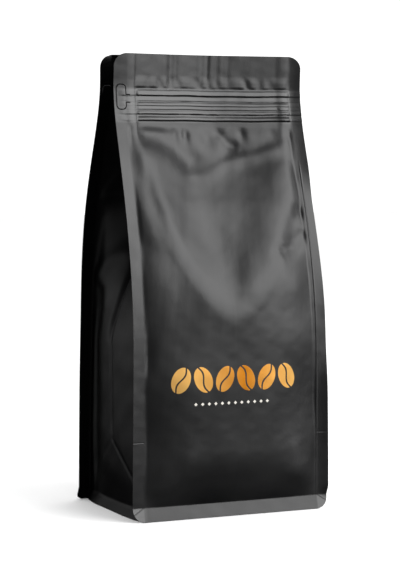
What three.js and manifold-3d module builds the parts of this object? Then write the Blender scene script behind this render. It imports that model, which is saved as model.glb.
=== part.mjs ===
// A filled flat-bottom coffee bag of laminated film, shut and standing on its base.
// Front and back films meet the two side gussets in flat welded fins, which frame the bag from top to
// bottom. The lower half is full and bulges. Above it the gussets fold inwards, and the bag closes
// to a flat seal, whose leaves spread a little at both ends. A press-to-close zipper lies under the front film,
// and a tear strip with a T-shaped pull tab crosses it.
// Millimetres. X runs across the front, Y from the front to the back, Z up from the floor.
import * as THREE from "three";
import { mergeVertices } from "three/addons/utils/BufferGeometryUtils.js";
import Module from "manifold-3d";

const wasm = await Module();
wasm.setup();

const { clamp, lerp, smoothstep } = THREE.MathUtils;

// Driving dimensions.
const bagHeight = 300;
const widthAtBase = 140; // over the side fins
const widthAtTop = 135.2;
const depthAtBase = 95.4; // from the front fin to the back fin
const depthAtTop = { left: 24.5, right: 19 }; // over the spread leaves of the top seal
const finWidth = 8;
const finThickness = 1.2;
const finCornerRadius = { top: 8.5, bottomFront: 8, bottomBack: 3 };
const bottomFinHeight = 9;
const sideFinHeight = 6.5; // the seam under each gusset
const topSealHeight = 15;

// How the fins' depth and the panels' depth fall from the filled half to the top.
const edgeTaper = { from: 20, to: 281, skew: 2.5 };
const centreTaper = { from: 111, to: 259, skew: 1.8 };
const widthTaper = { from: 0, to: 230, skew: 1 };
const foldTaper = { from: 110, to: 262, skew: 0.9 };
const centreDepthAtTop = 1.8; // half the thickness of the closed middle
const bellyBulge = 9; // how far the full panel stands proud of its fins
const bellyRise = 36; // height over which the belly rounds out above the bottom fin
const finFlare = { front: 2.4, back: 4.6, side: 4 }; // how far the bottom fins lean outwards at the floor
const shoulder = { height: 3.5, from: 140, to: 250 }; // the two soft ridges beside the hollow under the zipper
const sway = { most: 3.8, from: 110 }; // the shoulders lean back a little
const roundness = { belly: 2.4, top: 1.35 }; // exponent of a panel's curve from fin to fin

// Side gussets.
const gussetFoldDepth = 46; // inward fold at the top
const gussetBulge = 4; // outward bulge of the full part
const bottomFoldHeight = 48; // the folds of the base end here

// Underside: the belly rests on the floor, and the base film rises to the fins.
const restHalfWidth = 48;
const restHalfDepth = 34;

// Zipper under the front film: [height above the floor, relief] from the top down.
const zipperRelief = [
  [276.7, 0], [275.5, 0.9], [273.1, 0.9], [272.1, 0.3],
  [268.0, 0.3], [267.2, 1.1], [264.6, 1.1], [264.1, 0.8], [263.6, 1.1], [262.1, 1.1], [261.0, 0],
  [260.4, 0], [259.6, 0.8], [257.6, 0.5], [256.5, 0.8], [255.3, 0],
];
const zipperEnds = { left: -52, right: 58.6, run: 2 }; // the crushed left end is wider than the right one

// Tear strip and its pull tab, seen from the front.
const tearStrip = {
  bottom: 268.7, top: 271.4, right: 51, neckTop: 274.2, neckLeft: -55, neckRight: -49,
  headLeft: -66.4, headRight: -59.2, headBottom: 263.6, headTop: 279.6, headRadius: 2.2, thickness: 0.5,
};
const clearance = 0.3; // around and behind the tear strip

const film = new THREE.MeshStandardMaterial({ color: 0x1c1c1e, roughness: 0.5, metalness: 0.1 });
const tabFilm = new THREE.MeshStandardMaterial({ color: 0x202022, roughness: 0.5, metalness: 0.1 });

// 1 up to taper.from, 0 from taper.to, and smooth between, late where skew is over 1.
function falling(z, { from, to, skew }) {
  const along = clamp((z - from) / (to - from), 0, 1);
  return 1 - smoothstep(Math.pow(along, skew), 0, 1);
}

function halfWidth(z) {
  return lerp(widthAtTop, widthAtBase, falling(z, widthTaper)) / 2;
}

// Where the panels meet the fins.
function rootX(z) {
  return halfWidth(z) - finWidth;
}

// The outer edge of the front or back fins, with its rounded corners at the top and the bottom.
function tipX(z, isBack) {
  const { top, bottomFront, bottomBack } = finCornerRadius;
  const bottom = isBack ? bottomBack : bottomFront;
  const [radius, toEnd] = z > bagHeight / 2 ? [top, bagHeight - z] : [bottom, z];
  const intoCorner = clamp(radius - toEnd, 0, radius);
  const cut = radius - Math.sqrt(radius ** 2 - intoCorner ** 2);
  const leastFin = 0.4;
  return Math.max(halfWidth(z) - cut, rootX(z) + leastFin);
}

// How far a bottom fin of this height leans out.
function leanOut(flare, z, height) {
  return flare * clamp(1 - z / height, 0, 1);
}

// Half the distance between the front and back fins, on the left where x is negative.
function edgeDepth(x, z) {
  return lerp(x < 0 ? depthAtTop.left : depthAtTop.right, depthAtBase, falling(z, edgeTaper)) / 2;
}

// Half the bag's thickness on its middle line.
function centreDepth(z) {
  const rise = 1 - Math.pow(1 - clamp((z - bottomFinHeight) / bellyRise, 0, 1), 2.2);
  return lerp(centreDepthAtTop, depthAtBase / 2 + bellyBulge * rise, falling(z, centreTaper));
}

function swayAt(z) {
  return sway.most * Math.sin(Math.PI * clamp((z - sway.from) / (bagHeight - sway.from), 0, 1));
}

// Relief of the zipper on the front film.
function reliefAt(x, z) {
  const [highest, lowest] = [zipperRelief[0][0], zipperRelief.at(-1)[0]];
  if (z >= highest || z <= lowest) return 0;
  const i = zipperRelief.findIndex(([height]) => height <= z);
  const [[z1, r1], [z0, r0]] = [zipperRelief[i - 1], zipperRelief[i]];
  const inside = smoothstep(x, zipperEnds.left, zipperEnds.left + zipperEnds.run)
    * (1 - smoothstep(x, zipperEnds.right - zipperEnds.run, zipperEnds.right));
  return inside * lerp(r0, r1, (z - z0) / (z1 - z0));
}

// Distance of a panel from the bag's middle plane, without the zipper and the bottom fin's lean.
function panelDepth(x, z) {
  const edge = edgeDepth(x, z);
  const across = clamp(Math.abs(x) / rootX(z), 0, 1);
  const power = lerp(roundness.top, roundness.belly, falling(z, centreTaper));
  const along = clamp((z - shoulder.from) / (shoulder.to - shoulder.from), 0, 1);
  const ridge = shoulder.height * Math.sin(Math.PI * along) ** 2 * 4 * across ** 2 * (1 - across ** 2);
  return edge + (centreDepth(z) - edge) * (1 - across ** power) + ridge;
}

function frontDepth(x, z) {
  return panelDepth(x, z) + reliefAt(x, z) + leanOut(finFlare.front, z, bottomFinHeight);
}

function backDepth(x, z) {
  return panelDepth(x, z) + leanOut(finFlare.back, z, bottomFinHeight);
}

// How far the gusset's middle crease is folded in from the fins' root, and bulges out where it is negative.
function foldDepth(z) {
  const bulge = gussetBulge * clamp(z / bottomFoldHeight, 0, 1);
  return lerp(gussetFoldDepth, -bulge, falling(z, foldTaper));
}

// The bag's outline at one height, anticlockwise from above.
function sectionAt(z) {
  const frontSteps = 22;
  const backSteps = 16;
  const gussetSteps = 4; // in each half
  const [root, frontTip, backTip, middle] = [rootX(z), tipX(z, false), tipX(z, true), swayAt(z)];
  const points = [];
  const add = (x, y) => points.push(new THREE.Vector2(x, y + middle));

  // A gusset with the inner faces of its two fins, from one fin to the other.
  const addGusset = (side) => {
    const [tips, depths] = side > 0
      ? [[frontTip, backTip], [-frontDepth(root, z), backDepth(root, z)]]
      : [[backTip, frontTip], [backDepth(-root, z), -frontDepth(-root, z)]];
    const [start, end] = depths.map((depth) => depth - Math.sign(depth) * finThickness);
    const sharpness = foldDepth(z) > 0 ? 1 : 2; // a fold is straight to its crease, a bulge is round
    const out = leanOut(finFlare.side, z, sideFinHeight);
    add(side * tips[0], start);
    for (let i = 0; i <= 2 * gussetSteps; i++) {
      const across = i / gussetSteps - 1; // -1 at the first fin, 0 at the crease, 1 at the other fin
      const x = root - foldDepth(z) * (1 - Math.abs(across) ** sharpness);
      const atFin = Math.abs(across) === 1;
      add(side * (x + (atFin ? 0 : out)), across < 0 ? -across * start : across * end);
    }
    add(side * tips[1], end);
  };

  add(-frontTip, -frontDepth(-root, z));
  for (let i = 0; i <= frontSteps; i++) {
    const x = root * (2 * i / frontSteps - 1);
    add(x, -frontDepth(x, z));
  }
  add(frontTip, -frontDepth(root, z));
  addGusset(1);
  add(backTip, backDepth(root, z));
  for (let i = backSteps; i >= 0; i--) {
    const x = root * (2 * i / backSteps - 1);
    add(x, backDepth(x, z));
  }
  add(-backTip, backDepth(-root, z));
  addGusset(-1);
  return points;
}

// Heights of the sections: close together in the corners and on the zipper.
function sectionHeights() {
  const heights = [...zipperRelief.map(([height]) => height), 270];
  for (let i = 0; i <= 5; i++) {
    const turn = 1 - Math.cos((Math.PI / 2) * (i / 5));
    heights.push(finCornerRadius.bottomFront * turn, bagHeight - finCornerRadius.top * turn);
  }
  heights.push(finCornerRadius.bottomBack, sideFinHeight, bottomFinHeight, 13, 18, 24, 31, 39, 48, 60);
  for (let z = 75; z <= 150; z += 15) heights.push(z);
  for (let z = 161; z < 252; z += 10) heights.push(z);
  heights.push(280.5, bagHeight - topSealHeight);
  return [...new Set(heights.map((z) => +z.toFixed(4)))].sort((a, b) => a - b);
}

// One closed surface through a pile of outlines with equally many points.
function loft(sections) {
  const around = sections[0].points.length;
  const positions = sections.flatMap(({ z, points }) => points.flatMap((p) => [p.x, p.y, z]));
  const triangles = [];
  for (let row = 0; row + 1 < sections.length; row++) {
    for (let i = 0; i < around; i++) {
      const next = (i + 1) % around;
      const [a, b] = [row * around + i, row * around + next];
      triangles.push(a, b, b + around, a, b + around, a + around);
    }
  }
  const last = (sections.length - 1) * around;
  for (const [a, b, c] of THREE.ShapeUtils.triangulateShape(sections.at(-1).points, [])) {
    triangles.push(last + a, last + b, last + c);
  }
  for (const [a, b, c] of THREE.ShapeUtils.triangulateShape(sections[0].points, [])) {
    triangles.push(a, c, b);
  }
  return new THREE.BufferGeometry()
    .setAttribute("position", new THREE.Float32BufferAttribute(positions, 3))
    .setIndex(triangles);
}

// A geometry with its points moved by a rule.
function reshaped(geometry, rule) {
  const position = geometry.getAttribute("position");
  const point = new THREE.Vector3();
  for (let i = 0; i < position.count; i++) {
    point.fromBufferAttribute(position, i);
    rule(point);
    position.setXYZ(i, point.x, point.y, point.z);
  }
  return geometry;
}

function toSolid(geometry) {
  const bare = geometry.clone();
  bare.deleteAttribute("normal");
  bare.deleteAttribute("uv");
  const merged = mergeVertices(bare, 1e-4);
  return new wasm.Manifold(new wasm.Mesh({
    numProp: 3,
    vertProperties: new Float32Array(merged.getAttribute("position").array),
    triVerts: new Uint32Array(merged.index.array),
  }));
}

function toGeometry(solid) {
  const mesh = solid.getMesh();
  const geometry = new THREE.BufferGeometry()
    .setAttribute("position", new THREE.BufferAttribute(new Float32Array(mesh.vertProperties), 3))
    .setIndex(new THREE.BufferAttribute(new Uint32Array(mesh.triVerts), 1));
  geometry.computeVertexNormals();
  return geometry;
}

// The space under the bag, inside its four bottom fins: nothing in the middle, where the belly rests, and
// rising to the fins' roots.
function spaceUnderBag() {
  const below = -5;
  const start = -0.5; // just under the floor, so that the rest face stays flat
  const [halfX, halfY] = [rootX(0) - finThickness, depthAtBase / 2 - finThickness];
  const block = new THREE.BoxGeometry(2, 2, 1, 16, 16, 1);
  return reshaped(block, (p) => {
    const toFin = smoothstep(Math.abs(p.y) * halfY, restHalfDepth, halfY);
    const toSide = smoothstep(Math.abs(p.x) * halfX, restHalfWidth, halfX);
    const top = start + Math.max((bottomFinHeight - start) * toFin, (sideFinHeight - start) * toSide);
    const z = p.z > 0 ? top : below;
    const leanX = Math.abs(p.x) === 1 ? leanOut(finFlare.side, Math.max(z, 0), sideFinHeight) : 0;
    const flareY = p.y > 0 ? finFlare.back : finFlare.front;
    const leanY = Math.abs(p.y) === 1 ? leanOut(flareY, Math.max(z, 0), bottomFinHeight) : 0;
    p.set(p.x * halfX + Math.sign(p.x) * leanX, p.y * halfY + Math.sign(p.y) * leanY, z);
  });
}

// The tear strip's outline in X and Z, wider by grow on every side.
function tearOutline(grow) {
  const t = tearStrip;
  const radius = t.headRadius + grow;
  const [left, right] = [t.headLeft + t.headRadius, t.headRight - t.headRadius];
  const [low, high] = [t.headBottom + t.headRadius, t.headTop - t.headRadius];
  const shape = new THREE.Shape();
  shape.moveTo(t.right + grow, t.bottom - grow);
  shape.lineTo(t.headRight + grow, t.bottom - grow);
  shape.absarc(right, low, radius, 0, -Math.PI / 2, true);
  shape.absarc(left, low, radius, -Math.PI / 2, -Math.PI, true);
  shape.absarc(left, high, radius, Math.PI, Math.PI / 2, true);
  shape.absarc(right, high, radius, Math.PI / 2, 0, true);
  shape.lineTo(t.headRight + grow, t.neckTop + grow);
  shape.lineTo(t.neckLeft + grow, t.neckTop + grow);
  shape.lineTo(t.neckRight + grow, t.top + grow);
  shape.lineTo(t.right + grow, t.top + grow);
  return shape;
}

// A layer of the front film around the tear strip, between two distances from the film's surface.
function filmLayer(outside, inside) {
  const [left, right, low, high] = [-67, 53, 262, 281];
  const block = new THREE.BoxGeometry(2, 1, 2, 40, 1, 14);
  return reshaped(block, (p) => {
    const x = lerp(left, right, (p.x + 1) / 2);
    const z = lerp(low, high, (p.z + 1) / 2);
    p.set(x, swayAt(z) - frontDepth(x, z) - (p.y < 0 ? outside : -inside), z);
  });
}

// The part of such a layer inside the tear strip's outline.
function tearPlate(grow, outside, inside) {
  const reach = 60;
  const prism = new THREE.ExtrudeGeometry(tearOutline(grow), { depth: reach, bevelEnabled: false, curveSegments: 4 });
  prism.rotateX(Math.PI / 2).translate(0, reach / 2, 0);
  return toSolid(filmLayer(outside, inside)).intersect(toSolid(prism));
}

function makeBag() {
  const sections = sectionHeights().map((z) => ({ z, points: sectionAt(z) }));
  const pocketDepth = tearStrip.thickness + clearance;
  return toSolid(loft(sections))
    .subtract(toSolid(spaceUnderBag()))
    .subtract(tearPlate(clearance, 3, pocketDepth));
}

function piece(name, solid, material) {
  const mesh = new THREE.Mesh(toGeometry(solid), material);
  mesh.name = name;
  return mesh;
}

const coffeeBag = new THREE.Group();
coffeeBag.add(piece("bag_body", makeBag(), film), piece("tear_strip", tearPlate(0, 0, tearStrip.thickness), tabFilm));
export default coffeeBag;
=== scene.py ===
import math
import bpy
import numpy as np
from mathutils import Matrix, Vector


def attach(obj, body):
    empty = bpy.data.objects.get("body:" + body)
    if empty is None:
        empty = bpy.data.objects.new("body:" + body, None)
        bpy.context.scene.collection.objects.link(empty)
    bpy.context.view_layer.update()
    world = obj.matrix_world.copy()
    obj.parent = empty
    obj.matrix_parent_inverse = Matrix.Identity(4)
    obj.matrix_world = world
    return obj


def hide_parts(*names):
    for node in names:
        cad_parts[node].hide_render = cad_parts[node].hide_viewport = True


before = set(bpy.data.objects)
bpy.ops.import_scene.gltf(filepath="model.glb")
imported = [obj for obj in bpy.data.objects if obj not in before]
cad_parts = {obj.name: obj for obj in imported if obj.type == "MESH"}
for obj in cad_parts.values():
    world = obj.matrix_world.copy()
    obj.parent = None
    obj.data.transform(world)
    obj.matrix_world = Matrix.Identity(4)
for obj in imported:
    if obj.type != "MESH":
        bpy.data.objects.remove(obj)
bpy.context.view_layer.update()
mm = 0.001

# the bag's form, in millimetres: the solids' own sizes, but with the neck drawn tighter under the zipper
form = {
    "height": 300.0,
    "widthAtBase": 140.0,
    "widthAtTop": 135.2,
    "depthAtBase": 95.4,
    "depthAtTopLeft": 24.5,
    "depthAtTopRight": 19.0,
    "finWidth": 8.0,
    "cornerTop": 8.5,
    "cornerFront": 8.0,
    "cornerBack": 3.0,
    "bottomFin": 9.0,
    "sideFin": 6.5,
    "flareFront": 2.4,
    "flareBack": 4.6,
    "flareSide": 4.0,
    "bellyBulge": 9.0,
    "bellyRise": 36.0,
    "riseCurve": 2.2,
    "bellyCurve": 2.4,
    "centreAtTop": 1.8,
    "neckHeight": 257.0,
    "neckSlope": 0.437,
    "neckFan": 0.06,
    "neckCurve": 1.2,
    "neckBlend": 4.0,
    "neckRound": 9.0,
    "neckToFin": (0.84, 1.0),
    "neckFrom": (200.0, 235.0),
    "sway": 3.8,
    "swayFrom": 110.0,
    "bow": 2.2,
    "bowGrowth": 0.03,
    "bowReach": 40.0,
    "bowTop": 285.0,
    "bowFrom": (205.0, 258.0),
    "foldDepth": 46.0,
    "gussetBulge": 4.0,
    "bottomFold": 48.0,
}
filmThickness = 0.45
# tapers: where each starts and ends, and how late it bends
edgeTaper = (20, 281, 2.5)
widthTaper = (0, 230, 1.0)
foldTaper = (110, 262, 0.9)


def blend(a, b, t):
    return a + (b - a) * t


def smooth(x, start, end):
    t = np.clip((x - start) / (end - start), 0, 1)
    return t * t * (3 - 2 * t)


def falling(z, taper):
    start, end, skew = taper
    return 1 - smooth(np.clip((z - start) / (end - start), 0, 1) ** skew, 0, 1)


def bump(x, centre, width):
    return np.exp(-(((x - centre) / width) ** 2))


def rootX(z):
    return blend(form["widthAtTop"], form["widthAtBase"], falling(z, widthTaper)) / 2 - form["finWidth"]


def tipX(z, bottomRadius):
    radius = np.where(z > form["height"] / 2, form["cornerTop"], bottomRadius)
    toEnd = np.where(z > form["height"] / 2, form["height"] - z, z)
    into = np.clip(radius - toEnd, 0, radius)
    cut = radius - np.sqrt(radius**2 - into**2)
    return np.maximum(rootX(z) + form["finWidth"] - cut, rootX(z) + 0.4)


def leanOut(flare, z, height):
    return flare * np.clip(1 - z / height, 0, 1)


def edgeDepth(x, z):
    top = np.where(x < 0, form["depthAtTopLeft"], form["depthAtTopRight"])
    return blend(top, form["depthAtBase"], falling(z, edgeTaper)) / 2


# the filled bag sways back a little between its waist and its top
def swayAt(z):
    upTheSway = np.clip((z - form["swayFrom"]) / (form["height"] - form["swayFrom"]), 0, 1)
    return form["sway"] * np.sin(np.pi * upTheSway) ** 2


def bellyDepth(x, z):
    above = np.clip((z - form["bottomFin"]) / form["bellyRise"], 0, 1)
    rise = 1 - (1 - above) ** form["riseCurve"]
    across = np.clip(np.abs(x) / rootX(z), 0, 1)
    return edgeDepth(x, z) + form["bellyBulge"] * rise * (1 - across ** form["bellyCurve"])


# how far across the panel a point is, 0 on the middle line and 1 at the fins, with no kink in the middle
def acrossNeck(x, z):
    rounding = form["neckRound"]
    return (np.hypot(x, rounding) - rounding) / (np.hypot(rootX(z), rounding) - rounding)


# the film drawn tight from the zipper down to the belly
def necklineDepth(x, z):
    high = np.maximum(z, form["neckHeight"])
    across = np.clip(acrossNeck(x, high), 0, 1) ** form["neckCurve"]
    flat = blend(form["centreAtTop"], edgeDepth(x, high), across)
    slope = form["neckSlope"] + form["neckFan"] * acrossNeck(x, high)
    return flat + slope * np.maximum(form["neckHeight"] - z, 0)


def panelDepth(x, z):
    belly, neck = bellyDepth(x, z), necklineDepth(x, z)
    near = np.clip(1 - np.abs(belly - neck) / form["neckBlend"], 0, 1)
    inside = np.minimum(belly, neck) - near**2 * form["neckBlend"] / 4
    toFin = smooth(np.abs(x) / rootX(z), *form["neckToFin"]) * smooth(z, *form["neckFrom"])
    return blend(inside, edgeDepth(x, z), toFin)


# the stiff zipper holds the middle of the neck forward, and almost flat
def bowAt(x, z):
    across = np.clip(np.abs(x) / rootX(z), 0, 1)
    growth = form["bowGrowth"] * np.clip(form["bowTop"] - z, 0, form["bowReach"])
    forward = swayAt(z) + form["bow"] + growth
    return forward * smooth(z, *form["bowFrom"]) * (1 - across**2)


# 1 on the panel and 0 on the fins
def insidePanel(x, z):
    return 1 - smooth(np.abs(x), rootX(z) - 1.6, rootX(z) + 0.3)


def foldDepth(z):
    bulge = form["gussetBulge"] * (1 - (1 - np.clip(z / form["bottomFold"], 0, 1)) ** 2)
    return blend(form["foldDepth"], -bulge, falling(z, foldTaper))


# folds and dents of the film
def nearestOnPath(x, z, path):
    best = np.full(x.shape, 1e9)
    along = np.zeros(x.shape)
    lengths = [math.dist(a, b) for a, b in zip(path, path[1:])]
    total, done = sum(lengths), 0
    for (ax, az), (bx, bz), length in zip(path, path[1:], lengths):
        dx, dz = bx - ax, bz - az
        t = np.clip(((x - ax) * dx + (z - az) * dz) / length**2, 0, 1)
        d = np.hypot(x - ax - t * dx, z - az - t * dz)
        closer = d < best
        best = np.where(closer, d, best)
        along = np.where(closer, (done + t * length) / total, along)
        done += length
    return best, along


def foldHeight(x, z, folds):
    height = np.zeros(x.shape)
    for rise, width, path in folds:
        d, along = nearestOnPath(x, z, path)
        fade = smooth(along, -0.02, 0.18) * (1 - smooth(along, 0.82, 1.02))
        height += rise * np.exp(-((d / width) ** 2)) * (0.35 + 0.65 * fade)
    return height


def dentHeight(x, z, dents):
    height = np.zeros(x.shape)
    for rise, (cx, cz), (rx, rz), turn in dents:
        c, s = math.cos(math.radians(turn)), math.sin(math.radians(turn))
        u = (x - cx) * c + (z - cz) * s
        v = (z - cz) * c - (x - cx) * s
        height += rise * np.exp(-((u / rx) ** 2) - (v / rz) ** 2)
    return height


def ripple(x, z, seed, longest, count=14):
    chance = np.random.default_rng(seed)
    height = np.zeros(x.shape)
    for _ in range(count):
        length = longest * chance.uniform(0.25, 1)
        angle = chance.uniform(0, math.pi)
        phase = chance.uniform(0, 2 * math.pi)
        along = x * math.cos(angle) + z * math.sin(angle)
        height += length / longest * np.sin(along * 2 * math.pi / length + phase)
    return height / count**0.5


# a film starts as a flat grid, with u from -1 to 1 across it and v from 0 to 1 up it
def addFilm(name, columns, rows):
    bpy.ops.object.select_all(action="DESELECT")
    bpy.ops.mesh.primitive_grid_add(x_subdivisions=columns, y_subdivisions=rows, size=2)
    film = bpy.context.active_object
    film.name = film.data.name = name
    places = np.empty(len(film.data.vertices) * 3)
    film.data.vertices.foreach_get("co", places)
    places = places.reshape(-1, 3)
    return film, places[:, 0], (places[:, 1] + 1) / 2


def placeFilm(film, x, y, z):
    film.data.vertices.foreach_set("co", (np.stack([x, y, z], 1) * mm).ravel())
    film.data.update()


def finishFilm(film, thickness, material):
    bpy.ops.object.select_all(action="DESELECT")
    film.select_set(True)
    bpy.context.view_layer.objects.active = film
    solid = film.modifiers.new("thickness", "SOLIDIFY")
    solid.thickness = thickness * mm
    solid.offset = -1
    bpy.ops.object.modifier_apply(modifier=solid.name)
    bpy.ops.object.shade_smooth_by_angle(angle=math.radians(60))
    film.data.materials.clear()
    film.data.materials.append(material)
    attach(film, "root")


# materials: a wire is a node's output, and sums on wires add their nodes
class Wire:
    def __init__(self, shader, socket):
        self.shader = shader
        self.socket = socket

    def maths(self, operation, other=None):
        inputs = {0: self}
        if other is not None:
            inputs[1] = other
        return self.shader.node("ShaderNodeMath", {"operation": operation}, inputs)

    def __add__(self, other):
        return self.maths("ADD", other)

    def __radd__(self, other):
        return self.maths("ADD", other)

    def __sub__(self, other):
        return self.maths("SUBTRACT", other)

    def __rsub__(self, other):
        return (self * -1) + other

    def __mul__(self, other):
        return self.maths("MULTIPLY", other)

    def __rmul__(self, other):
        return self.maths("MULTIPLY", other)

    def __truediv__(self, other):
        return self.maths("DIVIDE", other)

    def __pow__(self, other):
        return self.maths("POWER", other)

    def __abs__(self):
        return self.maths("ABSOLUTE")

    def lesser(self, other):
        return self.maths("MINIMUM", other)

    def greater(self, other):
        return self.maths("MAXIMUM", other)

    # 0 to 1 between start and end, either way round
    def step(self, start, end):
        settings = {"interpolation_type": "SMOOTHSTEP"}
        low, high, first, last = (start, end, 0, 1) if start < end else (end, start, 1, 0)
        inputs = {0: self, 1: low, 2: high, 3: first, 4: last}
        return self.shader.node("ShaderNodeMapRange", settings, inputs)


class Shader:
    def __init__(self, name):
        self.material = bpy.data.materials.new(name)
        self.material.use_nodes = True
        self.tree = self.material.node_tree
        self.tree.nodes.clear()

    def node(self, kind, settings=None, inputs=None, out=0):
        node = self.tree.nodes.new(kind)
        for key, value in (settings or {}).items():
            setattr(node, key, value)
        for key, value in (inputs or {}).items():
            if isinstance(value, Wire):
                self.tree.links.new(value.socket, node.inputs[key])
            else:
                node.inputs[key].default_value = value
        return Wire(self, node.outputs[out])

    def mix(self, factor, a, b):
        return self.node("ShaderNodeMix", {"data_type": "RGBA"}, {0: factor, 6: a, 7: b}, out=2)

    def place(self):
        coords = self.node("ShaderNodeTexCoord", out="Object")
        split = self.tree.nodes.new("ShaderNodeSeparateXYZ")
        self.tree.links.new(coords.socket, split.inputs[0])
        return coords, *(Wire(self, output) * 1000 for output in split.outputs)

    def scaled(self, coords, x, y, z):
        return self.node("ShaderNodeVectorMath", {"operation": "MULTIPLY"}, {0: coords, 1: (x, y, z)})

    def noise(self, coords, scale, detail=3, roughness=0.55):
        inputs = {"Vector": coords, "Scale": scale, "Detail": detail, "Roughness": roughness}
        return self.node("ShaderNodeTexNoise", {}, inputs, out="Fac")

    def bumpNormal(self, height, strength, distance, normal=None):
        inputs = {"Height": height, "Strength": strength, "Distance": distance}
        if normal is not None:
            inputs["Normal"] = normal
        return self.node("ShaderNodeBump", {}, inputs)

    def finish(self, **inputs):
        inputs = {name.replace("_", " "): value for name, value in inputs.items()}
        surface = self.node("ShaderNodeBsdfPrincipled", {}, inputs)
        output = self.tree.nodes.new("ShaderNodeOutputMaterial")
        self.tree.links.new(surface.socket, output.inputs["Surface"])
        return self.material


def rgb(r, g, b):
    return (r, g, b, 1.0)


filmLook = {
    "black": rgb(0.0028, 0.0028, 0.0030),
    "dusty": rgb(0.0048, 0.0048, 0.0050),
    # a deeper black used as painted shade: the darker film of the gussets and base, and the cut lines
    "paintedShadeBlack": rgb(0.0008, 0.0008, 0.0009),
    # a lighter grey for the painted highlight along the back leaf's cut edge
    "paintedEdgeHighlight": rgb(0.05, 0.05, 0.052),
    # the print's gold, painted darker in the middle of the row and paler towards its ends: painted shade and
    # painted highlight on the metal
    "goldInPaintedSheen": rgb(0.80, 0.46, 0.13),
    "goldInPaintedShade": rgb(0.48, 0.17, 0.008),
    "cream": rgb(0.42, 0.40, 0.36),
    "shine": 0.5,
    "gussetShine": 0.22,
    "roughness": 0.4,
    "broadScale": 18,
    "fineScale": 900,
    "creaseScale": 160,
    "creaseStretch": (1, 1, 0.35),
    "broadWander": 0.10,
    "fineWander": 0.06,
    "pressedRoughness": 0.34,
    "creaseHeight": 0.35,
    "fineHeight": 0.12,
    "bumpStrength": 0.25,
    "bumpDistance": 0.0006,
    "goldMetal": 0.9,
    "inkRoughness": 0.08,
    "inkHeight": 0.15,
}


def laminate(name, printed=False, lines=None, shine=filmLook["shine"], tones=("black", "dusty")):
    s = Shader(name)
    coords, x, _, z = s.place()
    broad = s.noise(coords, filmLook["broadScale"], 2)
    fine = s.noise(coords, filmLook["fineScale"], 2)
    stretched = s.scaled(coords, *filmLook["creaseStretch"])
    creases = s.noise(stretched, filmLook["creaseScale"], 4, 0.6)
    colour = s.mix(broad.step(0.35, 0.7), filmLook[tones[0]], filmLook[tones[1]])
    wander = (broad - 0.5) * filmLook["broadWander"] + (fine - 0.5) * filmLook["fineWander"]
    rough = filmLook["roughness"] + wander
    height = creases * filmLook["creaseHeight"] + fine * filmLook["fineHeight"]
    metallic = 0.0
    coat = 0.0
    if printed:
        gold, cream, paintedGoldSheen = printedMasks(x, z)
        ink = gold.greater(cream)
        # the gold is mixed from dark in the middle of the row to pale at its ends: painted shade and painted
        # highlight
        metal = s.mix(paintedGoldSheen, filmLook["goldInPaintedShade"], filmLook["goldInPaintedSheen"])
        colour = s.mix(gold, colour, metal)
        colour = s.mix(cream, colour, filmLook["cream"])
        metallic = gold * filmLook["goldMetal"]
        rough = rough + ink * filmLook["inkRoughness"]
        height = height + ink * filmLook["inkHeight"]
    normal = s.bumpNormal(height, filmLook["bumpStrength"], filmLook["bumpDistance"])
    if lines:
        marks = lines(x, z)
        normal = s.bumpNormal(marks["raised"], 1.0, mm, normal)
        rough = rough + marks["rougher"]
        coat = marks["pressed"]
        # the cut lines and the dot are painted a deeper black: painted shade in the cut
        colour = s.mix(marks["cut"], colour, filmLook["paintedShadeBlack"])
        # the back leaf's cut edge is painted a lighter grey: painted highlight
        colour = s.mix(marks["paintedEdgeHighlight"], colour, filmLook["paintedEdgeHighlight"])
    return s.finish(
        Base_Color=colour,
        Roughness=rough,
        Metallic=metallic,
        Normal=normal,
        Specular_IOR_Level=shine,
        Coat_Weight=coat,
        Coat_Roughness=filmLook["pressedRoughness"],
    )


# thin cut, weld and crease lines of the films, in millimetres
thinLines = {
    "tabCentre": (-62.7, 271.8),
    "tabHalf": (3.2, 8.1),
    "tabRadius": 2.6,
    "tabGap": (268.3, 273.3),
    "prongEnd": -56.6,
    "cutDepth": 0.9,
    "cutRoughness": 0.6,
    "dot": (51.8, 264.9),
    "dotRadii": (0.3, 1.1),
    "weldX": -53.0,
    "weldZ": (246, 301, 3),
    "zipperEndX": 59.4,
    "zipperEndZ": (257.5, 277, 0.6),
    "finRoot": 62.0,
    "finCreaseZ": 51.0,
    "seamZ": (12, 226, 6),
    "cornerSlope": 0.62,
    "cornerHeight": 9.2,
    "zipperPress": (255.5, 277.5, 1.2),
    "zipperGloss": 0.45,
    "weldPress": (230, 262),
    "weldGloss": 0.12,
    "finPress": (245, 225),
    "finGloss": 0.2,
    "footPress": (9.6, 9.0),
    "footGloss": 0.45,
    "leafTop": (276, 281),
    "leafGloss": -0.21,
}


def band(value, centre, half, soft=0.12):
    return abs(value - centre).step(half + soft, half - soft)


def between(value, low, high, soft=0.4):
    return value.step(low - soft, low + soft) * value.step(high + soft, high - soft)


def tabOutline(x, z, half=0.3):
    (cx, cz), (hx, hz), radius = thinLines["tabCentre"], thinLines["tabHalf"], thinLines["tabRadius"]
    a = abs(x - cx) - (hx - radius)
    b = abs(z - cz) - (hz - radius)
    corner = (a.greater(0.0) ** 2 + b.greater(0.0) ** 2).maths("SQRT")
    away = corner + a.greater(b).lesser(0.0) - radius
    low, high = thinLines["tabGap"]
    gap = between(z, low, high) * x.step(cx, cx + 0.4)
    rows = band(z, low, half).greater(band(z, high, half))
    prongs = rows * between(x, cx + hx, thinLines["prongEnd"], 0.2)
    return (band(away, 0.0, half) * (1 - gap)).greater(prongs)


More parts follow.
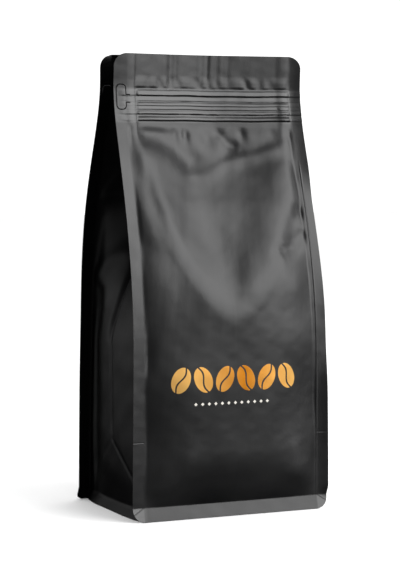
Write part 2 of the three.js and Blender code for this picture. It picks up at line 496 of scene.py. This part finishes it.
# the films are pressed smooth on the zipper, on the weld beside it and on the fins
def pressedPlaces(x, z, onFin):
    onZipper = between(z, *thinLines["zipperPress"]) * thinLines["zipperGloss"]
    onWeld = x.step(-52, -54) * z.step(*thinLines["weldPress"]) * thinLines["weldGloss"]
    onLeftFin = x.step(-60, -61) * z.step(*thinLines["finPress"]) * thinLines["finGloss"]
    onBottomFin = onFin * z.step(*thinLines["footPress"]) * thinLines["footGloss"]
    return onZipper + onWeld + onLeftFin + onBottomFin


def frontLines(x, z):
    root = thinLines["finRoot"]
    dotX, dotZ = thinLines["dot"]
    near, far = thinLines["dotRadii"]
    cut = tabOutline(x, z)
    dot = ((x - dotX) ** 2 + (z - dotZ) ** 2).step(far, near)
    onFin = abs(x).step(root, root + 0.6)
    weld = band(x, thinLines["weldX"], 0.2, 0.5) * between(z, *thinLines["weldZ"]) * 0.2
    zipperEnd = band(x, thinLines["zipperEndX"], 0.1, 0.9) * between(z, *thinLines["zipperEndZ"]) * 0.35
    seam = band(x, root, 0.35, 0.5) * between(z, *thinLines["seamZ"]) * 0.22
    finCrease = band(z, thinLines["finCreaseZ"], 0.15, 0.3) * onFin * 0.22
    slant = thinLines["cornerSlope"]
    corner = band(abs(x) * slant + z, slant * root + thinLines["cornerHeight"], 0.2, 0.5)
    corner = corner * onFin * z.step(10.5, 9.5) * 0.3
    sunk = finCrease + corner + cut * thinLines["cutDepth"] + dot * 0.5
    return {
        "raised": weld + zipperEnd + seam - sunk,
        "rougher": cut.greater(dot) * thinLines["cutRoughness"],
        # the cut's deeper black is painted shade
        "cut": cut.greater(dot),
        "paintedEdgeHighlight": 0.0,
        "pressed": pressedPlaces(x, z, onFin) * (1 - cut),
    }


# the leaf behind the pull tab shows the edge of its own cut as a lighter grey line, a painted highlight, and
# is smoother at its top
def backLeafLines(x, z):
    arc = tabOutline(x, z, 0.12) * z.step(274, 277) * x.step(-60, -61)
    return {
        "raised": arc * 0.2,
        "rougher": z.step(*thinLines["leafTop"]) * thinLines["leafGloss"],
        "cut": 0.0,
        "paintedEdgeHighlight": arc,
        "pressed": 0.0,
    }


# the print: a row of beans over a rule of small lozenges, in millimetres
motif = {
    "beans": 6,
    "left": -46.0,
    "right": 44.5,
    "middle": 90.3,
    "halfLong": 8.6,
    "halfShort": 6.0,
    "tilt": 24.0,
    "splitSway": 1.3,
    "splitEdge": (0.45, 0.75),
    # where the gold's painted shade is deepest, and how far across the row its painted highlight grows
    "paintedShadeMiddleX": 6.0,
    "paintedSheenReach": 42.0,
    "lozenges": 12,
    "ruleLeft": -31.0,
    "ruleRight": 24.5,
    "ruleZ": 74.6,
    "lozengeSpread": 4.6,
    "lozengeEdge": (1.25, 1.0),
}


# which place of a row a point is in, how far it is from that place's middle, and whether it's in the row
def inRow(x, left, right, count):
    along = (x - left) / ((right - left) / count)
    cell = along.maths("FLOOR")
    inside = along.step(-0.01, 0.01) * along.step(count + 0.01, count - 0.01)
    return cell, along - cell - 0.5, inside


def printedMasks(x, z):
    cell, u, inside = inRow(x, motif["left"], motif["right"], motif["beans"])
    u = u * ((motif["right"] - motif["left"]) / motif["beans"])
    v = z - motif["middle"]
    c, k = math.cos(math.radians(motif["tilt"])), math.sin(math.radians(motif["tilt"]))
    lean = (cell.maths("MODULO", 2.0) * 2 - 1) * k
    a = u * c + v * lean
    b = v * c - u * lean
    oval = ((a / motif["halfShort"]) ** 2 + (b / motif["halfLong"]) ** 2).maths("SQRT")
    split = abs(a - (b / motif["halfLong"] * math.pi).maths("SINE") * motif["splitSway"])
    gold = oval.step(1.02, 0.98) * split.step(*motif["splitEdge"]) * inside
    # painted sheen across the gold: 0 in the middle of the row, 1 towards its ends
    paintedGoldSheen = (abs(x - motif["paintedShadeMiddleX"]) / motif["paintedSheenReach"]).lesser(1.0)
    _, spot, inside = inRow(x, motif["ruleLeft"], motif["ruleRight"], motif["lozenges"])
    lozenge = abs(spot) * motif["lozengeSpread"] + abs(z - motif["ruleZ"])
    return gold, lozenge.step(*motif["lozengeEdge"]) * inside, paintedGoldSheen


printedFilm = laminate("printed_black_film", printed=True, lines=frontLines)
tabFilm = laminate("tear_strip_film", lines=frontLines)
plainFilm = laminate("plain_black_film")
# the gussets and the base film get a darker copy of the same film, with a deeper black and less gloss:
# painted shade for their shaded sides
paintedShadeFilm = laminate(
    "gusset_black_film", lines=backLeafLines, shine=filmLook["gussetShine"], tones=("paintedShadeBlack", "paintedShadeBlack")
)
print("films' materials made")

# the zipper's relief, as heights over the floor and how far each stands out
zipper = {
    "left": -51.8,
    "right": 60.0,
    "crushed": 0.22,
    "relief": [
        (277.6, 0), (277.0, 0.1), (275.8, 0.75), (273.4, 1.3), (272.5, 0), (271.6, 0.1), (269.6, 0.4),
        (269.2, 0.1), (268.8, 0.3), (267.8, 0.8), (266.6, 1.1), (266.1, 0.8), (264.2, 1.0), (263.7, 0.8),
        (263.3, 0.75), (262.4, 1.15), (261.2, 1.35), (260.5, 0.1), (259.6, 0.3), (258.4, 0.95), (257.2, 1.25),
        (256.0, 0),
    ],
}


def zipperRelief(x, z):
    heights, reliefs = zip(*sorted(zipper["relief"]))
    leftEnd = smooth(x, zipper["left"] - 0.5, zipper["left"] + 0.9)
    rightEnd = 1 - smooth(x, zipper["right"] - 1.2, zipper["right"])
    onLeftFin = zipper["crushed"] * smooth(x, -66, -60)
    waver = 0.12 * np.sin(x / 13) + 0.08 * np.sin(x / 5.1 + 1)
    return np.interp(z + waver, heights, reliefs) * np.maximum(leftEnd * rightEnd, onLeftFin)


# the film puffs out between the zipper and the top seal, with a row of dimples
seal = {
    "puffLow": 277.2,
    "puffHigh": 286.5,
    "puff": 0.5,
    "dimpleDepth": 0.6,
    "dimples": [-43, -33.5, -25, -19, -11, -4.5, 3.5, 9, 17.5, 30, 39, 47],
    "dimpleWidth": 2.4,
    "leans": (-0.12, 0.25),
    "leanFrom": 280,
    "thicker": 0.04,
    "thickerFrom": 283,
    "weldFrom": (276, 285),
    "streakLean": 0.02,
    # streaks of the weld: place, height and half width
    "streaks": [
        (-25.0, -0.8, 2.8), (-21.0, -0.2, 1.1), (-17.0, 0.15, 2.0), (-4.0, 0.12, 1.1), (-1.5, -0.1, 0.8),
        (2.2, -0.34, 1.1), (5.2, 0.12, 0.9), (9.0, -0.1, 0.9), (12.0, 0.1, 1.0), (17.0, -0.08, 1.2),
    ],
}


def sealRelief(x, z):
    height = np.zeros(x.shape)
    low, high = seal["puffLow"], seal["puffHigh"]
    window = smooth(z, low, low + 2.2) * (1 - smooth(z, high - 5, high))
    puff = seal["puff"] * window
    for i, at in enumerate(seal["dimples"]):
        lean = (z - seal["leanFrom"]) * seal["leans"][i % 2]
        depth = seal["dimpleDepth"] * (0.5 + i * 3 % 4 * 0.2)
        puff -= depth * window * bump(x + lean, at, seal["dimpleWidth"] + i % 3 * 0.5)
    height += puff * smooth(x, -54, -50) * (1 - smooth(x, 56, 60))
    height += seal["thicker"] * np.clip(z - seal["thickerFrom"], 0, None)
    for at, rise, width in seal["streaks"]:
        lean = (form["height"] - z) * seal["streakLean"]
        height += rise * smooth(z, *seal["weldFrom"]) * bump(x + lean, at, width)
    return height


# how far the fins bend forward, each with the heights over the floor that shape it
finBends = {
    "foot": (2.2, (8, 16), (75, 120)),
    "corner": (-0.9, (6, 13)),
    "waist": (1.0, 140, 30),
    "shoulder": (2.4, (200, 230)),
    "leftWave": (0.3, 31.0),
    "leftShoulder": (-0.5, (235, 262)),
    "curl": 1.3,
}


def finBend(x, z):
    t = np.clip((np.abs(x) - rootX(z)) / form["finWidth"], 0, 1)
    foot, fadeIn, fadeOut = finBends["foot"]
    right = foot * smooth(z, *fadeIn) * (1 - smooth(z, *fadeOut))
    waist, middle, reach = finBends["waist"]
    right = right + waist * bump(z, middle, reach)
    shoulder, fadeIn = finBends["shoulder"]
    right = right + shoulder * smooth(z, *fadeIn)
    corner, fadeOut = finBends["corner"]
    right = right + corner * (1 - smooth(z, *fadeOut))
    wave, length = finBends["leftWave"]
    shoulder, fadeIn = finBends["leftShoulder"]
    left = wave * np.sin(z / length) + shoulder * smooth(z, *fadeIn)
    return np.where(x > 0, right, left) * t ** finBends["curl"]


# front film
frontFilm = {
    "columns": 146,
    "rows": 325,
    "panelShare": 0.9,
    "softFrom": (10, 26),
    "softTo": (247.5, 256),
    "ripple": 0.18,
    "grain": 0.05,
    # height, half width and the points that each fold runs through
    "folds": [
        (-0.5, 10, [(-60, 215), (-50, 195), (-40, 175), (-25, 155), (-5, 140)]),  # left arm of the V
        (-1.5, 13, [(-15, 220), (-15, 195), (-10, 180), (0, 160), (0, 145)]),  # beside the left arm
        (1, 10, [(45, 235), (40, 210), (30, 185), (20, 165), (5, 140)]),  # right arm of the V
        (-3, 9, [(-55, 250), (-35, 245), (-25, 240), (-15, 230), (-15, 220)]),  # pull from the left end
        (-2, 14, [(55, 245), (40, 240), (25, 235), (10, 245)]),  # pull from the right end
        (0.8, 4, [(-5, 220), (10, 229), (30, 233), (55, 241)]),  # shelf over the V
        (-1, 3.5, [(6, 253), (9, 248), (14, 242), (22, 238)]),  # crease that runs down into it
        (1, 14, [(30, 215), (20, 185), (8, 160), (0, 140)]),  # middle of the V
        (-2, 7, [(60, 200), (50, 190), (45, 175)]),  # dip at the right shoulder
        (-1.5, 5, [(60, 185), (50, 175), (35, 170)]),  # under it
        (-1, 3, [(60, 225), (60, 210), (62, 190)]),  # along the right seam
        (0.5, 6, [(-60, 15), (-45, 20), (-35, 30), (-30, 45)]),  # from the lower left corner
        (0.5, 6, [(60, 15), (50, 20), (45, 35), (40, 50)]),  # from the lower right corner
    ],
    # dents and full places: height, middle, half sizes and turn
    "dents": [
        (3, (0, 205), (40, 20), 0),  # full under the zipper
        (3, (0, 170), (20, 40), 0),  # full down the middle
        (-2, (0, 50), (40, 40), 0),  # flatter low down
        (-2, (0, 115), (40, 35), 0),  # flatter above the print
        (-2.5, (-45, 170), (20, 15), -15),  # left of the V
        (2, (-50, 165), (20, 35), 0),
        (-2, (-40, 140), (18, 30), 0),
        (-2, (-48, 200), (6, 20), 15),
        (-1, (-50, 220), (5, 10), 0),
        (-1.5, (55, 150), (20, 25), 0),  # right of the V
        (2, (45, 150), (12, 15), 0),
        (-1.5, (-16, 248), (3, 6), 0),  # dimples under the zipper
        (-0.8, (-24, 249), (3, 5), 0),
        (-1, (0, 245), (5, 6), 0),
        (-0.8, (25, 248), (3, 6), 10),
        (-1, (-60, 105), (5, 10), 0),  # beside the left seam
        (-0.5, (-55, 45), (10, 15), 0),
        (-1, (50, 75), (20, 25), 0),  # beside the right seam
        (1, (45, 25), (10, 10), 0),
        (-0.5, (60, 230), (5, 20), 0),
    ],
}


def frontDetail(x, z):
    soft = foldHeight(x, z, frontFilm["folds"]) + dentHeight(x, z, frontFilm["dents"])
    soft = soft + frontFilm["ripple"] * ripple(x, z, 5, 46)
    below = 1 - smooth(z, *frontFilm["softTo"])
    above = smooth(z, *frontFilm["softFrom"])
    grain = frontFilm["grain"] * ripple(x, z, 9, 14)
    return soft * insidePanel(x, z) * below * above + zipperRelief(x, z) + sealRelief(x, z) + grain


def frontY(x, z):
    flare = leanOut(form["flareFront"], z, form["bottomFin"])
    out = panelDepth(x, z) + flare + frontDetail(x, z) + finBend(x, z)
    return swayAt(z) - bowAt(x, z) - out


def acrossPanel(u, z, tip, panelShare):
    side, t = np.sign(u), np.abs(u)
    root = rootX(z)
    inPanel = root * np.minimum(t / panelShare, 1)
    inFin = (tip - root) * np.clip((t - panelShare) / (1 - panelShare), 0, 1)
    return side * (inPanel + inFin)


# the rows stand closer at the crease over the bottom fin and on the zipper
def makeFront():
    film, u, v = addFilm("front_film", frontFilm["columns"], frontFilm["rows"])
    crease = form["bottomFin"]
    rows = np.array([0, 7, 8, 9, 10, 11, 175, 287, 325]) / frontFilm["rows"]
    heights = [0, crease - 1, crease - 0.5, crease, crease + 0.5, crease + 1.2, 252, 279, form["height"]]
    z = np.interp(v, rows, heights)
    x = acrossPanel(u, z, tipX(z, form["cornerFront"]), frontFilm["panelShare"])
    placeFilm(film, x, frontY(x, z), z)
    finishFilm(film, filmThickness, printedFilm)
    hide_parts("bag_body")


# back film
backFilm = {
    "columns": 100,
    "rows": 210,
    "panelShare": 0.88,
    "softFrom": (10, 26),
    "softTo": (252, 262),
    "ripple": 0.2,
    "grain": 0.05,
    "folds": [
        (2.2, 8.0, [(-55, 214), (-40, 182), (-24, 156), (-4, 136)]),
        (2.4, 8.0, [(52, 224), (44, 196), (30, 168), (12, 146), (-4, 134)]),
        (-1.8, 5.0, [(50, 250), (34, 241), (20, 232), (12, 216)]),
        (-1.5, 4.0, [(-57, 245), (-38, 238), (-22, 240), (-12, 252)]),
    ],
    "dents": [
        (-1.8, (54, 150), (6, 12), -8),
        (-1.3, (52, 100), (7, 12), -12),
        (-1.6, (-54, 140), (6, 13), 10),
        (-1.2, (-50, 80), (8, 12), 18),
        (-1.3, (48, 48), (9, 8), -25),
    ],
}


def backY(x, z):
    soft = foldHeight(x, z, backFilm["folds"]) + dentHeight(x, z, backFilm["dents"])
    soft = soft + backFilm["ripple"] * ripple(x, z, 21, 46)
    below = 1 - smooth(z, *backFilm["softTo"])
    above = smooth(z, *backFilm["softFrom"])
    detail = soft * insidePanel(x, z) * below * above + backFilm["grain"] * ripple(x, z, 23, 14)
    for at, rise, width in seal["streaks"]:
        detail = detail + rise * smooth(z, *seal["weldFrom"]) * bump(x, -at, width)
    flare = leanOut(form["flareBack"], z, form["bottomFin"])
    return swayAt(z) - bowAt(x, z) + panelDepth(x, z) + flare + detail


def makeBack():
    film, u, v = addFilm("back_film", backFilm["columns"], backFilm["rows"])
    z = v * form["height"]
    x = -acrossPanel(u, z, tipX(z, form["cornerBack"]), backFilm["panelShare"])
    placeFilm(film, x, backY(x, z), z)
    finishFilm(film, filmThickness, plainFilm)
    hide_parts("bag_body")


# side gussets, from the front fin's edge over the middle crease to the back fin's edge
gusset = {
    "columns": 96,
    "rows": 260,
    "panelShare": 0.82,
    "reach": 40.0,
    "tuck": 2 * filmThickness,
    "tipInset": 0.15,
    "ripple": 0.16,
    "calmFrom": (232, 262),
    "flatFrom": (222, 250),
    "leftFolds": [
        (-2.0, 2.4, [(0, 180), (0, 157), (2, 132), (3.2, 115)]),
        (-0.6, 1.3, [(3.2, 118), (0.5, 106), (-1, 62), (-2.4, 48)]),
        (-0.45, 1.0, [(-2.4, 48), (-15, 37), (-27, 26), (-40, 9)]),
        (-0.15, 1.8, [(-2.4, 48), (14, 34), (30, 18), (40, 8)]),
        (1.5, 3.6, [(39, 204), (28, 221), (14, 231), (2, 236)]),
        (1.2, 3.0, [(39, 204), (31, 206.5), (21, 208), (8, 207)]),
        (1.2, 6.5, [(39, 150), (31, 155), (24, 163), (14, 169), (4, 172)]),
        (-0.8, 5.0, [(38, 146), (32, 143), (28, 132), (26, 116)]),
        (-2.6, 9.0, [(34, 142), (32, 107), (30, 75), (28, 44), (31, 8)]),
        (1.2, 2.2, [(35.5, 130), (35, 60), (34, 6)]),
        (-3.0, 6.5, [(41, 200), (40, 178), (40, 156)]),
    ],
    "rightFolds": [
        (-1.6, 2.6, [(0, 185), (0, 150), (-2, 128), (-2, 112)]),
        (-0.6, 1.3, [(-2, 114), (1, 80), (0, 48)]),
        (-0.7, 1.5, [(0, 48), (-22, 29), (-40, 9)]),
        (-0.7, 1.5, [(0, 48), (22, 29), (40, 9)]),
        (1.5, 5.0, [(-38, 162), (-24, 170), (-8, 180)]),
        (1.2, 4.0, [(38, 198), (28, 212), (14, 220)]),
        (-1.2, 6.0, [(26, 140), (24, 100), (20, 60), (24, 10)]),
    ],
}


def makeGusset(name, side, folds):
    film, u, v = addFilm(name, gusset["columns"], gusset["rows"])
    z = v * form["height"]
    root, share, tuck = rootX(z), gusset["panelShare"], gusset["tuck"]
    across = np.clip(u * side / share, -1, 1)
    front = frontY(side * root, z) + tuck
    back = backY(side * root, z) - tuck
    inward = foldDepth(z) * (1 - np.abs(across) ** np.where(foldDepth(z) > 0, 1.0, 2.0))
    spot = across * gusset["reach"]
    crumple = foldHeight(spot, z, folds) + gusset["ripple"] * ripple(spot, z, 40 + side, 38)
    crumple = crumple * (1 - np.abs(across) ** 8) * (1 - smooth(z, *gusset["calmFrom"]))
    foot = leanOut(form["flareSide"], z, form["sideFin"]) * (1 - np.abs(across) ** 6)
    x = root - inward + foot + crumple
    # near the top the fold lies flat between the two panels, wherever they are at that place
    inner = np.clip(x, 0, root)
    flat = smooth(z, *gusset["flatFrom"])
    front = blend(front, frontY(side * inner, z) + tuck, flat)
    back = blend(back, backY(side * inner, z) - tuck, flat)
    y = (front + back) / 2 + (back - front) / 2 * across
    # the rest of the grid lies on the inner faces of the two fins
    onFin = np.clip((np.abs(u) - share) / (1 - share), 0, 1)
    isBack = u * side > 0
    tip = np.where(isBack, tipX(z, form["cornerBack"]), tipX(z, form["cornerFront"])) - gusset["tipInset"]
    finX = root + (tip - root) * onFin
    finY = np.where(isBack, backY(side * finX, z) - tuck, frontY(side * finX, z) + tuck)
    placeFilm(film, side * np.where(onFin > 0, finX, x), np.where(onFin > 0, finY, y), z)
    finishFilm(film, filmThickness, paintedShadeFilm)
    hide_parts("bag_body")


makeFront()
print("front film made")
makeBack()
print("back film made")
makeGusset("left_gusset", -1, gusset["leftFolds"])
makeGusset("right_gusset", 1, gusset["rightFolds"])
print("gussets made")


# base film: flat on the floor, with a rim that turns up into the fins and then down behind them
base = {
    "columns": 72,
    "rows": 60,
    "panelShare": 0.88,
    "inset": 1.0,
    "rimX": 48.0,
    "rimY": 34.0,
    "lift": 0.02,
    "footLift": 0.31,
    "footHeight": 0.4,
    "thickness": 0.3,
}


def makeBase():
    film, u, v = addFilm("base_film", base["columns"], base["rows"])
    v = 2 * v - 1
    share = base["panelShare"]
    halfX = rootX(0.0) - base["inset"]
    halfY = form["depthAtBase"] / 2 - base["inset"]
    a, b = np.clip(u / share, -1, 1), np.clip(v / share, -1, 1)
    x, y = a * halfX, b * halfY
    riseY = form["bottomFin"] * smooth(np.abs(y), base["rimY"], halfY)
    riseX = form["sideFin"] * smooth(np.abs(x), base["rimX"], halfX)
    down = np.clip((np.maximum(np.abs(u), np.abs(v)) - share) / (1 - share), 0, 1)
    z = np.maximum(riseY, riseX) * (1 - down)
    outward = leanOut(form["flareSide"], z, form["sideFin"]) * (1 - np.abs(b) ** 6)
    x = x + np.sign(u) * outward * (np.abs(a) == 1) * down
    flare = np.where(v > 0, form["flareFront"], form["flareBack"])
    y = y + np.sign(v) * leanOut(1.0, z, form["bottomFin"]) * flare * (np.abs(b) == 1) * down
    z = z + base["lift"] * (down == 0)
    placeFilm(film, x, -y, z + base["footLift"] * (z < base["footHeight"]))
    finishFilm(film, base["thickness"], paintedShadeFilm)
    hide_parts("bag_body")


makeBase()
print("base film made")

# the tear strip with its pull tab, a little proud of the front film
tear = {
    "head": (-66.4, -59.2, 263.6, 279.6),
    "headCorner": 2.2,
    "headGrid": (18, 44),
    "strip": (-59.3, 51.0, 268.7, 271.4),
    "stripGrid": (150, 8),
    "neck": (-55.0, -49.0, 274.2),
    "proud": 0.14,
    "thickness": 0.3,
}


def makeTearStrip():
    left, right, low, high = tear["head"]
    head, u, v = addFilm("pull_tab", *tear["headGrid"])
    z = low + (high - low) * v
    toEnd = np.minimum(z - low, high - z)
    into = np.clip(tear["headCorner"] - toEnd, 0, None)
    cut = tear["headCorner"] - np.sqrt(tear["headCorner"] ** 2 - into**2)
    x = (left + right) / 2 + u * ((right - left) / 2 - cut)
    placeFilm(head, x, frontY(x, z) - tear["proud"], z)
    left, right, low, high = tear["strip"]
    strip, u, v = addFilm("tear_strip_film", *tear["stripGrid"])
    x = left + (right - left) * (u + 1) / 2
    wide, narrow, neckTop = tear["neck"]
    top = np.interp(x, [wide, narrow], [neckTop, high])
    z = low + (top - low) * v
    placeFilm(strip, x, frontY(x, z) - tear["proud"], z)
    finishFilm(head, tear["thickness"], tabFilm)
    finishFilm(strip, tear["thickness"], tabFilm)
    head.select_set(True)
    bpy.ops.object.join()
    strip.name = strip.data.name = "tear_strip_detail"
    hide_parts("tear_strip")


makeTearStrip()
print("tear strip made")

# lights: azimuth and elevation in degrees, distance and size in metres, power in watts
softboxes = {
    "key": (37, 26, 1.6, (1.55, 1.5), 38),
    "fill": (-122, 4, 1.8, (2.6, 0.9), 4.6),
}
glossLights = {
    "behind": (138, 21, 1.6, (1.6, 1.2), 24),
    "right": (100, 10, 1.8, (1.2, 1.2), 9),
}
studio = {
    "aim": (0, 0, 0.15),
    "paper": (rgb(0.86, 0.86, 0.86), rgb(0.9, 0.9, 0.9)),
    "paperScale": 400,
    "paperRoughness": 0.9,
    "floorSize": 12,
    "floorDrop": 0.0002,
    "dim": rgb(0.012, 0.012, 0.013),
    "white": rgb(1, 1, 1),
    "whiteStrength": 1.25,
}


def addLight(name, azimuth, elevation, distance, size, power, onlyGloss=False):
    a, e = math.radians(azimuth), math.radians(elevation)
    direction = Vector((math.sin(a) * math.cos(e), -math.cos(a) * math.cos(e), math.sin(e)))
    bpy.ops.object.light_add(type="AREA", location=direction * distance + Vector(studio["aim"]))
    light = bpy.context.active_object
    light.name = name
    light.rotation_mode = "QUATERNION"
    light.rotation_quaternion = direction.to_track_quat("Z", "Y")
    light.data.shape = "RECTANGLE"
    light.data.size, light.data.size_y = size
    light.data.energy = power
    light.visible_diffuse = not onlyGloss


for name, values in softboxes.items():
    addLight(name, *values)
for name, values in glossLights.items():
    addLight(name, *values, onlyGloss=True)

# a white paper floor
bpy.ops.mesh.primitive_plane_add(size=studio["floorSize"], location=(0, 0, -studio["floorDrop"]))
floor = bpy.context.active_object
floor.name = "floor"
paper = Shader("floor_paper")
floorCoords, *_ = paper.place()
grain = paper.noise(floorCoords, studio["paperScale"], 2)
paperColour = paper.mix(grain, *studio["paper"])
floor.data.materials.append(paper.finish(Base_Color=paperColour, Roughness=studio["paperRoughness"]))
floor.visible_glossy = False

# the world is white to the camera and to soft light, and dim in the film's gloss
world = bpy.data.worlds.new("studio")
bpy.context.scene.world = world
world.use_nodes = True
tree = world.node_tree
tree.nodes.clear()
rays = tree.nodes.new("ShaderNodeLightPath")
dim = tree.nodes.new("ShaderNodeBackground")
dim.inputs["Color"].default_value = studio["dim"]
white = tree.nodes.new("ShaderNodeBackground")
white.inputs["Color"].default_value = studio["white"]
white.inputs["Strength"].default_value = studio["whiteStrength"]
seen = tree.nodes.new("ShaderNodeMath")
seen.operation = "ADD"
tree.links.new(rays.outputs["Is Camera Ray"], seen.inputs[0])
tree.links.new(rays.outputs["Is Diffuse Ray"], seen.inputs[1])
mixed = tree.nodes.new("ShaderNodeMixShader")
tree.links.new(seen.outputs[0], mixed.inputs[0])
tree.links.new(dim.outputs[0], mixed.inputs[1])
tree.links.new(white.outputs[0], mixed.inputs[2])
worldOut = tree.nodes.new("ShaderNodeOutputWorld")
tree.links.new(mixed.outputs[0], worldOut.inputs["Surface"])
print("floor and lights set")

# the photograph's camera: degrees, metres and pixels
photo = {
    "azimuth": -24.585,
    "distance": 1.3183,
    "height": 0.23416,
    "pitch": 3.763,
    "shiftX": -0.00109,
    "focalPixels": 1975.0,
    "pixelsHigh": 570,
    "sensorWidth": 36,
}
turn = math.radians(photo["azimuth"])
bpy.ops.object.camera_add()
camera = bpy.context.active_object
camera.location = (
    math.sin(turn) * photo["distance"] + photo["shiftX"],
    -math.cos(turn) * photo["distance"],
    photo["height"],
)
camera.rotation_euler = (math.radians(90 - photo["pitch"]), 0, turn)
camera.data.sensor_width = photo["sensorWidth"]
camera.data.lens = photo["focalPixels"] / photo["pixelsHigh"] * photo["sensorWidth"]
bpy.context.scene.camera = camera
bpy.context.scene.view_settings.view_transform = "Standard"
print("camera set")
